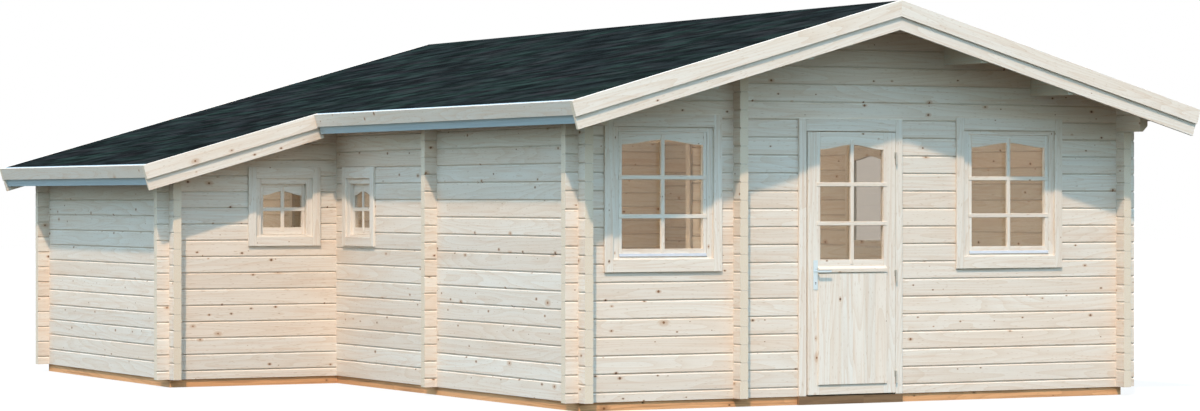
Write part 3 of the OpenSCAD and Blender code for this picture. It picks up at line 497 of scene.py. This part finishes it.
def addBoard(x0, x1, y0, y1, z0, z1, finish, soften=edgePlan["eased"]):
    bpy.ops.object.select_all(action="DESELECT")
    bpy.ops.mesh.primitive_cube_add(size=1, location=((x0 + x1) / 2, (y0 + y1) / 2, (z0 + z1) / 2),
                                    scale=(x1 - x0, y1 - y0, z1 - z0))
    made = bpy.context.object
    bpy.ops.object.transform_apply(location=True, rotation=True, scale=True)
    if soften:
        easeEdges(soften, 1)
    made.data.materials.append(finish)
    return made


def addHeadRail(x0, x1, y0, y1, zSide, z1, rise, finish):
    # Top rail with a curved lower edge: level at the ends and the middle, rise higher in the middle
    made = addBoard(x0, x1, y0, y1, zSide, z1, finish, 0.0)
    mesh = made.data
    bpy.ops.object.mode_set(mode="EDIT")
    bpy.ops.mesh.select_mode(type="EDGE")
    bpy.ops.mesh.select_all(action="DESELECT")
    bpy.ops.object.mode_set(mode="OBJECT")
    for edge in mesh.edges:
        a, b = (mesh.vertices[i].co for i in edge.vertices)
        edge.select = abs(a.x - b.x) > (x1 - x0) * edgePlan["longEdge"]
    bpy.ops.object.mode_set(mode="EDIT")
    bpy.ops.mesh.subdivide(number_cuts=edgePlan["archCuts"])
    bpy.ops.object.mode_set(mode="OBJECT")
    for point in mesh.vertices:
        if point.co.z < zSide + edgePlan["touch"]:
            t = (point.co.x - x0) / (x1 - x0)
            point.co.z += rise * (1 - cos(2 * pi * t)) / 2
    return made


def joinPieces(name, parts):
    pickOnly(*parts)
    if len(parts) > 1:
        bpy.ops.object.join()
    made = bpy.context.object
    made.name = name
    made.data.name = name
    bpy.ops.object.transform_apply(location=True, rotation=True, scale=True)
    return made


def placeCopy(source, turn, move, swap):
    # A copy with its own mesh, turned about Z and moved, its place kept in the mesh
    made = source.copy()
    made.data = source.data.copy()
    bpy.context.collection.objects.link(made)
    made.data.transform(Matrix.Translation(Vector(move)) @ Matrix.Rotation(turn, 4, "Z"))
    for slot, finish in enumerate(list(made.data.materials)):
        made.data.materials[slot] = swap.get(finish.name, finish)
    return made


windowPlan = {
    "sashFront": 0.002, "sashBack": 0.047, "sashGap": 0.002, "stile": 0.032, "rail": 0.060,
    "archRise": 0.036, "barWidth": 0.031, "barFront": -0.002, "barBack": 0.022, "barLap": 0.030,
    "barEnd": 0.038, "barProud": 0.0005, "frameWidth": 0.060, "frameDepth": 0.070, "casingThick": 0.020,
    "casingUpright": 0.070, "casingLevel": 0.095, "casingSill": 0.095, "casingReveal": 0.050,
    "casingFoot": 0.016, "casingHead": 0.036, "dripHigh": 0.022, "dripOut": 0.010, "dripIn": 0.004,
    "dripFoot": 0.004, "dripShort": 0.006, "eased": 0.002, "barEased": 0.003,
}
# The small sashes are thinner and sit deep in their frames
smallPlan = dict(windowPlan, sashFront=0.034, sashBack=0.068, barFront=0.030, barBack=0.0425,
                 casingHead=0.046, casingSill=0.079)


def makeWindow(width, height, shares, plan):
    # Seen from outside, from the middle of the sash's foot, with the wall's face at y 0
    half, rail, eased = width / 2, plan["rail"], plan["eased"]
    across, top = half - plan["stile"], height - rail
    low, high = -plan["casingFoot"], height + plan["casingHead"]
    sill, head = low - plan["casingSill"], high + plan["casingLevel"]
    inner = half + plan["casingReveal"]
    outer = inner + plan["casingUpright"]
    casing = [addBoard(x0, x1, -plan["casingThick"], 0, z0, z1, finish, eased) for x0, x1, z0, z1, finish in (
        (-outer, -inner, sill, head, boardUpright), (inner, outer, sill, head, boardUpright),
        (-inner, inner, high, head, boardAlongX), (-inner, inner, sill, low, boardAlongX))]
    wide = plan["frameWidth"]
    side, over = half + wide, height + wide
    liner = [addBoard(x0, x1, 0, plan["frameDepth"], z0, z1, finish) for x0, x1, z0, z1, finish in (
        (-side, -half, -wide, over, boardUpright), (half, side, -wide, over, boardUpright),
        (-half, half, height, over, boardAlongX), (-half, half, -wide, 0, boardAlongX))]
    gap, front, back = plan["sashGap"], plan["sashFront"], plan["sashBack"]
    sash = [addBoard(x0, x1, front, back, gap, z1, finish, eased) for x0, x1, z1, finish in (
        (-half + gap, -across, height - gap, boardUpright), (across, half - gap, height - gap, boardUpright),
        (-across, across, rail, boardAlongX))]
    sash.append(addHeadRail(-across, across, front, back, top - plan["archRise"], height - gap,
                            plan["archRise"], boardAlongX))
    if shares:
        bar, lap = plan["barWidth"] / 2, across + plan["barLap"]
        sash.append(addBoard(-bar, bar, plan["barFront"], plan["barBack"], rail - plan["barEnd"],
                             top + plan["barEnd"], boardUpright, plan["barEased"]))
        for share in shares:
            z = rail + share * (top - rail)
            sash.append(addBoard(-lap, lap, plan["barFront"] - plan["barProud"], plan["barBack"],
                                 z - bar, z + bar, boardAlongX, plan["barEased"]))
    foot, end = plan["dripFoot"], half - plan["dripShort"]
    drip = [addBoard(-end, end, front - plan["dripOut"], front + plan["dripIn"], foot,
                     foot + plan["dripHigh"], dripAluminium, eased)]
    return [joinPieces(name, parts) for name, parts in (
        ("casing", casing), ("liner", liner), ("sash", sash), ("drip", drip))]


sideGrain = {boardAlongX.name: boardAlongY}           # for windows in the walls that run front to back
windowSpots = [
    # plan, width, height, bars, [(turn, place of the sash's foot, finish swap)]
    (windowPlan, 0.750, 0.928, [0.298, 0.655], [(0, (-1.735, frontFace, 1.130), {}),
                                                (0, (1.343, frontFace, 1.130), {})]),
    (smallPlan, 0.410, 0.425, [0.5], [(0, (-2.917, wingFace, 1.260), {}),
                                      (-pi / 2, (leftFace, 3.960, 1.260), sideGrain)]),
    (windowPlan, 0.620, 0.870, [], [(pi / 2, (rightFace, 3.710, 1.130), sideGrain)]),
]
sets = [[], [], [], []]
for plan, width, height, shares, spots in windowSpots:
    made = makeWindow(width, height, shares, plan)
    shown = made if plan is windowPlan else made[:3]  # the small windows have no drip strip
    for turn, move, swap in spots:
        for group, one in zip(sets, shown):
            group.append(placeCopy(one, turn, move, swap))
    for one in made:
        bpy.data.objects.remove(one)
setNames = [("windowCasingBoards", "window_casings"), ("windowLiners", "window_frames"),
            ("windowSashFrames", "window_sashes"), ("windowDripStrips", None)]
for group, (name, node) in zip(sets, setNames):
    piece = joinPieces(name, group)
    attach(piece, "root")
    if node:
        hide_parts(node)
print("windows made")

doorPlan = {
    "x0": -0.5005, "x1": 0.2805, "front": -0.065, "back": -0.023, "z0": 0.073, "z1": 2.068,
    "middle": -0.110, "paneWidth": 0.564, "paneFoot": 1.099, "paneTop": 1.972, "archRise": 0.036,
    "bars": [0.313, 0.654], "barWidth": 0.031, "barOut": 0.004, "barIn": 0.020, "barLap": 0.030,
    "barEnd": 0.038, "barProud": 0.0005, "barEased": 0.003,
    "panelX0": -0.415, "panelX1": 0.195, "panelZ0": 0.150, "panelZ1": 0.982, "panelOut": 0.012,
    "panelIn": 0.012, "panelLap": 0.012, "panelBoards": 6, "boardGap": 0.0002, "boardEased": 0.0009,
    "weatherZ0": 1.002, "weatherZ1": 1.050, "weatherOut": 0.020, "weatherIn": 0.002, "weatherFront": 0.58,
    "casingWidth": 0.064, "casingHead": 0.095, "casingZ0": 0.065, "casingThick": 0.020,
    "gap": 0.007, "eased": 0.002,
}


def addWeatherBar(x0, x1, y0, y1, z0, z1, finish):
    # Board with its upper front edge planed to a slope that sheds rain
    made = addBoard(x0, x1, y0, y1, z0, z1, finish, 0.0)
    for point in made.data.vertices:
        if point.co.z > (z0 + z1) / 2 and point.co.y < (y0 + y1) / 2:
            point.co.z = z0 + doorPlan["weatherFront"] * (z1 - z0)
    easeEdges(doorPlan["eased"], 2)
    return made


def makeDoorLeaf():
    plan = doorPlan
    front, back, eased = plan["front"], plan["back"], plan["eased"]
    z0, z1, foot, top = plan["z0"], plan["z1"], plan["paneFoot"], plan["paneTop"]
    pane0, pane1 = plan["middle"] - plan["paneWidth"] / 2, plan["middle"] + plan["paneWidth"] / 2
    parts = [
        addBoard(plan["x0"], pane0, front, back, z0, z1, boardUpright, eased),
        addBoard(pane1, plan["x1"], front, back, z0, z1, boardUpright, eased),
        addHeadRail(pane0, pane1, front, back, top - plan["archRise"], z1, plan["archRise"], boardAlongX),
        addBoard(pane0, pane1, front, back, plan["panelZ1"], foot, boardAlongX, eased),
        addBoard(pane0, pane1, front, back, z0, plan["panelZ0"], boardAlongX, eased),
        addWeatherBar(plan["panelX0"], plan["panelX1"], front - plan["weatherOut"],
                      front + plan["weatherIn"], plan["weatherZ0"], plan["weatherZ1"], boardAlongX),
    ]
    # Upright tongued boards of the lower panel, standing a little proud outside
    step = (plan["panelX1"] - plan["panelX0"]) / plan["panelBoards"]
    for k in range(plan["panelBoards"]):
        x = plan["panelX0"] + k * step
        parts.append(addBoard(x + plan["boardGap"], x + step - plan["boardGap"], front - plan["panelOut"],
                              back - plan["panelIn"], plan["panelZ0"], plan["panelZ1"] + plan["panelLap"],
                              boardUpright, plan["boardEased"]))
    bar, out, inside = plan["barWidth"] / 2, front - plan["barOut"], front + plan["barIn"]
    parts.append(addBoard(plan["middle"] - bar, plan["middle"] + bar, out, inside, foot - plan["barEnd"],
                          top + plan["barEnd"], boardUpright, plan["barEased"]))
    for share in plan["bars"]:
        z = foot + share * (top - foot)
        parts.append(addBoard(pane0 - plan["barLap"], pane1 + plan["barLap"], out - plan["barProud"],
                              inside, z - bar, z + bar, boardAlongX, plan["barEased"]))
    return joinPieces("doorLeafBoards", parts)


handlePlan = {
    "spindleX": -0.4355, "spindleZ": 1.012, "spindleRadius": 0.0055, "spindleSpare": 0.02,
    "plateWidth": 0.040, "plateLow": 0.140, "plateHigh": 0.083, "plateThick": 0.005, "plateEased": 0.0016,
    "roseRadius": 0.0145, "roseThick": 0.004, "neckRadius": 0.0075, "neckGap": 0.001, "neckEnd": 0.5,
    "leverOff": 0.047, "leverThick": 0.012, "leverWidth": 0.018, "leverLength": 0.112, "leverEased": 0.0045,
    "keyDrop": 0.087, "keyRadius": 0.0048, "keyDeep": 0.0012, "slotHalf": 0.0021, "slotHigh": 0.015,
    "slotProud": 0.0006, "slotEased": 0.0002,
    "screwIn": 0.013, "screwRadius": 0.0042, "screwDeep": 0.0024, "screwProud": 0.0006,
    "cutHalf": 0.0032, "cutRise": 0.0005, "cutProud": 0.0022, "cutEased": 0.0001,
}


def addRound(x, y, z, radius, depth, finish, soften=0.0, sides=28):
    # Short bar along Y
    bpy.ops.object.select_all(action="DESELECT")
    bpy.ops.mesh.primitive_cylinder_add(vertices=sides, radius=radius, depth=depth, location=(x, y, z),
                                        rotation=(pi / 2, 0, 0))
    made = bpy.context.object
    bpy.ops.object.transform_apply(location=True, rotation=True, scale=True)
    if soften:
        bpy.ops.object.mode_set(mode="EDIT")
        bpy.ops.mesh.select_mode(type="FACE")
        bpy.ops.mesh.select_all(action="DESELECT")
        bpy.ops.mesh.select_face_by_sides(number=sides, type="EQUAL")
        bpy.ops.mesh.bevel(offset=soften, segments=2)
        bpy.ops.object.mode_set(mode="OBJECT")
    made.data.materials.append(finish)
    return made


def makeHandle():
    # Long plates with rose, keyhole and screws on both faces of the leaf, and the pair of levers
    plan = handlePlan
    x, z, key = plan["spindleX"], plan["spindleZ"], plan["spindleZ"] - plan["keyDrop"]
    half, low, high = plan["plateWidth"] / 2, z - plan["plateLow"], z + plan["plateHigh"]
    wide, slot, cut = plan["leverWidth"] / 2, plan["slotHalf"], plan["cutHalf"]
    plates, levers = [], []

    def addFacing(x0, x1, near, far, z0, z1, finish, soften):
        # A board on the face that is being worked on, whichever way that looks
        return addBoard(x0, x1, min(near, far), max(near, far), z0, z1, finish, soften)
    for face, out in ((doorPlan["front"], -1), (doorPlan["back"], 1)):
        top = face + out * plan["plateThick"]
        plates.append(addFacing(x - half, x + half, face, top, low, high, satinNickel, plan["plateEased"]))
        plates.append(addRound(x, top + out * plan["roseThick"] / 2, z, plan["roseRadius"],
                               plan["roseThick"], satinNickel))
        # The keyhole, its slot and the screw slots are near-black: painted shade for their hollows
        plates.append(addRound(x, top, key, plan["keyRadius"], plan["keyDeep"], hollowShade))
        plates.append(addFacing(x - slot, x + slot, top, top + out * plan["slotProud"],
                                key - plan["slotHigh"], key, hollowShade, plan["slotEased"]))
        for spot in (low + plan["screwIn"], high - plan["screwIn"]):
            plates.append(addRound(x, top + out * plan["screwProud"], spot, plan["screwRadius"],
                                   plan["screwDeep"], satinNickel))
            plates.append(addFacing(x - cut, x + cut, top, top + out * plan["cutProud"],
                                    spot - plan["cutRise"], spot + plan["cutRise"], hollowShade,
                                    plan["cutEased"]))
        start = face + out * (plan["plateThick"] + plan["neckGap"])
        end = face + out * (plan["leverOff"] + plan["leverThick"] * plan["neckEnd"])
        levers.append(addRound(x, (start + end) / 2, z, plan["neckRadius"], abs(end - start), satinNickel))
        near = face + out * plan["leverOff"]
        far = face + out * (plan["leverOff"] + plan["leverThick"])
        levers.append(addFacing(x - wide, x + plan["leverLength"], near, far, z - wide, z + wide,
                                satinNickel, plan["leverEased"]))
    levers.append(addRound(x, (doorPlan["front"] + doorPlan["back"]) / 2, z, plan["spindleRadius"],
                           doorPlan["back"] - doorPlan["front"] + plan["spindleSpare"], satinNickel))
    return joinPieces("handlePlateSet", plates), joinPieces("handleLeverPair", levers)


hingePlan = {
    "x": 0.284, "y": -0.073, "middles": [0.196, 0.968, 1.870], "high": 0.095, "radius": 0.0062,
    "halfGap": 0.0005, "eased": 0.0008, "flapStart": 0.0035, "flapWide": 0.011, "flapThick": 0.003,
    "flapEnd": 0.001, "flapEased": 0.0006, "webStart": 0.003, "webEnd": 0.0055, "webEased": 0.0004,
}


def makeHinges(upper):
    # Butt hinges let into the edges: only the knuckles and the flaps' lips show
    plan = hingePlan
    x, y, start = plan["x"], plan["y"], plan["flapStart"]
    half, gap, thick = plan["high"] / 2, plan["halfGap"], plan["flapThick"]
    casingFace = frontFace - doorPlan["casingThick"]
    parts = []
    for middle in plan["middles"]:
        low, high = (middle + gap, middle + half) if upper else (middle - half, middle - gap)
        knuckle = addRound(x, y, 0, plan["radius"], high - low, zincSteel, plan["eased"])
        knuckle.data.transform(Matrix.Translation((x, y, (low + high) / 2)) @ Matrix.Rotation(pi / 2, 4, "X")
                               @ Matrix.Translation((-x, -y, 0)))
        parts.append(knuckle)
        if upper:
            face = doorPlan["front"]
            parts.append(addBoard(x - start - plan["flapWide"], x - plan["flapEnd"], face - thick, face,
                                  low, high, zincSteel, plan["flapEased"]))
        else:
            parts.append(addBoard(x + start, x + start + plan["flapWide"], casingFace - thick, casingFace,
                                  low, high, zincSteel, plan["flapEased"]))
            parts.append(addBoard(x + plan["webStart"], x + plan["webEnd"], y, casingFace, low, high,
                                  zincSteel, plan["webEased"]))
    return joinPieces("leafHingeHalves" if upper else "frameHingeHalves", parts)


def makeDoorCasing():
    plan = doorPlan
    x0, x1, z0 = plan["x0"] - plan["gap"], plan["x1"] + plan["gap"], plan["casingZ0"]
    top, wide = plan["z1"] + plan["gap"], plan["casingWidth"]
    return joinPieces("doorCasingBoards", [
        addBoard(left, right, frontFace - plan["casingThick"], frontFace, low, top + plan["casingHead"],
                 finish, plan["eased"])
        for left, right, low, finish in ((x0 - wide, x0, z0, boardUpright), (x1, x1 + wide, z0, boardUpright),
                                         (x0, x1, top, boardAlongX))])


doorLeaf = makeDoorLeaf()
frameHalves, leafHalves = makeHinges(False), makeHinges(True)
platePair, leverPair = makeHandle()
doorCasing = makeDoorCasing()
for piece, body, slot, node in ((doorLeaf, "door", "joinery", "door_leaf"),
                                (frameHalves, "root", "hinge_steel", "frame_hinges"),
                                (leafHalves, "door", "hinge_steel", "leaf_hinges"),
                                (platePair, "door", "handle_metal", "handle_plates"),
                                (leverPair, "lever", "handle_metal", "handle_lever"),
                                (doorCasing, "root", "joinery", "door_casing")):
    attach(piece, body)
    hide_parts(node)
print("door made")


def seenStraight(tree):
    # 1 for what is seen straight, in a reflection or through glass, and 0 for the light on the cabin
    path = addNode(tree, "LightPath")
    seen = addNode(tree, "Math", {0: path.outputs["Is Camera Ray"], 1: path.outputs["Is Glossy Ray"]},
                   operation="MAXIMUM").outputs[0]
    return addNode(tree, "Math", {0: seen, 1: path.outputs["Is Transmission Ray"]},
                   operation="MAXIMUM").outputs[0]


# Pale floor: it is seen almost white with the cabin's soft shadow on it, and throws little light back up
groundPlan = {"pale": "#E4E4E2", "bounce": "#3A342D", "glow": 0.86, "size": 160, "drop": 0.001}


def makeGround():
    look = groundPlan
    made, tree = startMaterial("paleStudioFloor")
    pale = addNode(tree, "BsdfDiffuse", {"Color": toLinear(look["pale"])})
    glow = addNode(tree, "Emission", {"Color": (1, 1, 1, 1), "Strength": 1.0})
    shown = addNode(tree, "MixShader", {0: look["glow"], 1: pale.outputs[0], 2: glow.outputs[0]})
    dull = addNode(tree, "BsdfDiffuse", {"Color": toLinear(look["bounce"])})
    both = addNode(tree, "MixShader", {0: seenStraight(tree), 1: dull.outputs[0], 2: shown.outputs[0]})
    addNode(tree, "OutputMaterial", {"Surface": both.outputs[0]})
    return made


bpy.ops.object.select_all(action="DESELECT")
bpy.ops.mesh.primitive_plane_add(size=groundPlan["size"], location=(0, 0, -groundPlan["drop"]))
ground = bpy.context.object
ground.name = "studioFloor"
bpy.ops.object.transform_apply(location=True, rotation=True, scale=True)
ground.data.materials.append(makeGround())

# White behind the cabin, a cool and even fill on it
worldPlan = {"fill": (0.74, 1.0, 0.98, 1.0), "strength": 1.12}
world = bpy.data.worlds.new("paleStudio")
bpy.context.scene.world = world
world.use_nodes = True
sky = world.node_tree
sky.nodes.clear()
fill = addNode(sky, "Background", {"Color": worldPlan["fill"], "Strength": worldPlan["strength"]})
white = addNode(sky, "Background", {"Color": (1, 1, 1, 1), "Strength": 1.0})
shown = addNode(sky, "MixShader", {0: seenStraight(sky), 1: fill.outputs[0], 2: white.outputs[0]})
addNode(sky, "OutputWorld", {"Surface": shown.outputs[0]})

# A warm sun from the front left, and blue light from the upper sky, too high to reach in under the eaves
sunPlans = {
    "lowSun": {"place": (-6, -8, 12), "travel": (0.758, 1.0, -1.550), "energy": 2.95,
               "colour": (1.0, 0.735, 0.54), "angle": 1.6},
    "highSky": {"place": (0, 0, 14), "travel": (0, 0, -1), "energy": 2.2, "colour": (0.30, 0.48, 1.0),
                "angle": 150},
}
for sunName, plan in sunPlans.items():
    bpy.ops.object.light_add(type="SUN", location=plan["place"])
    sun = bpy.context.object
    sun.name = sunName
    sun.rotation_euler = Vector(plan["travel"]).to_track_quat("-Z", "Y").to_euler()
    sun.data.energy = plan["energy"]
    sun.data.color = plan["colour"]
    sun.data.angle = radians(plan["angle"])

# Daylight that the rooms hold, from round lamps that are never seen themselves
lampColour = (0.95, 0.90, 0.80)
roomLamps = [
    # name, place, power, radius
    ("mainRoomLamp", (0.6, 5.3, 1.4), 53, 0.35),
    ("frontRoomLamp", (0.7, 1.6, 1.4), 28, 0.35),
    ("cornerRoomLamp", (-2.1, 1.2, 0.9), 23, 0.2),
    ("wingRoomLamp", (-3.2, 6.0, 1.4), 11, 0.35),
]
for lampName, spot, power, radius in roomLamps:
    bpy.ops.object.light_add(type="POINT", location=spot, radius=radius)
    lamp = bpy.context.object
    lamp.name = lampName
    lamp.data.energy = power
    lamp.data.color = lampColour
    lamp.visible_camera = False
    lamp.visible_glossy = False
    lamp.visible_transmission = False

cameraPlan = {"place": (-14.07947, -22.72776, 1.56540), "turn": (89.8797, 0.0, -27.5117),
              "lens": 104.5335, "sensor": 36, "reach": 200}
bpy.ops.object.camera_add(location=cameraPlan["place"], rotation=[radians(a) for a in cameraPlan["turn"]])
camera = bpy.context.object
camera.data.lens = cameraPlan["lens"]
camera.data.sensor_width = cameraPlan["sensor"]
camera.data.clip_end = cameraPlan["reach"]
bpy.context.scene.camera = camera
bpy.context.scene.view_settings.view_transform = "Standard"
print("floor, light and camera placed")
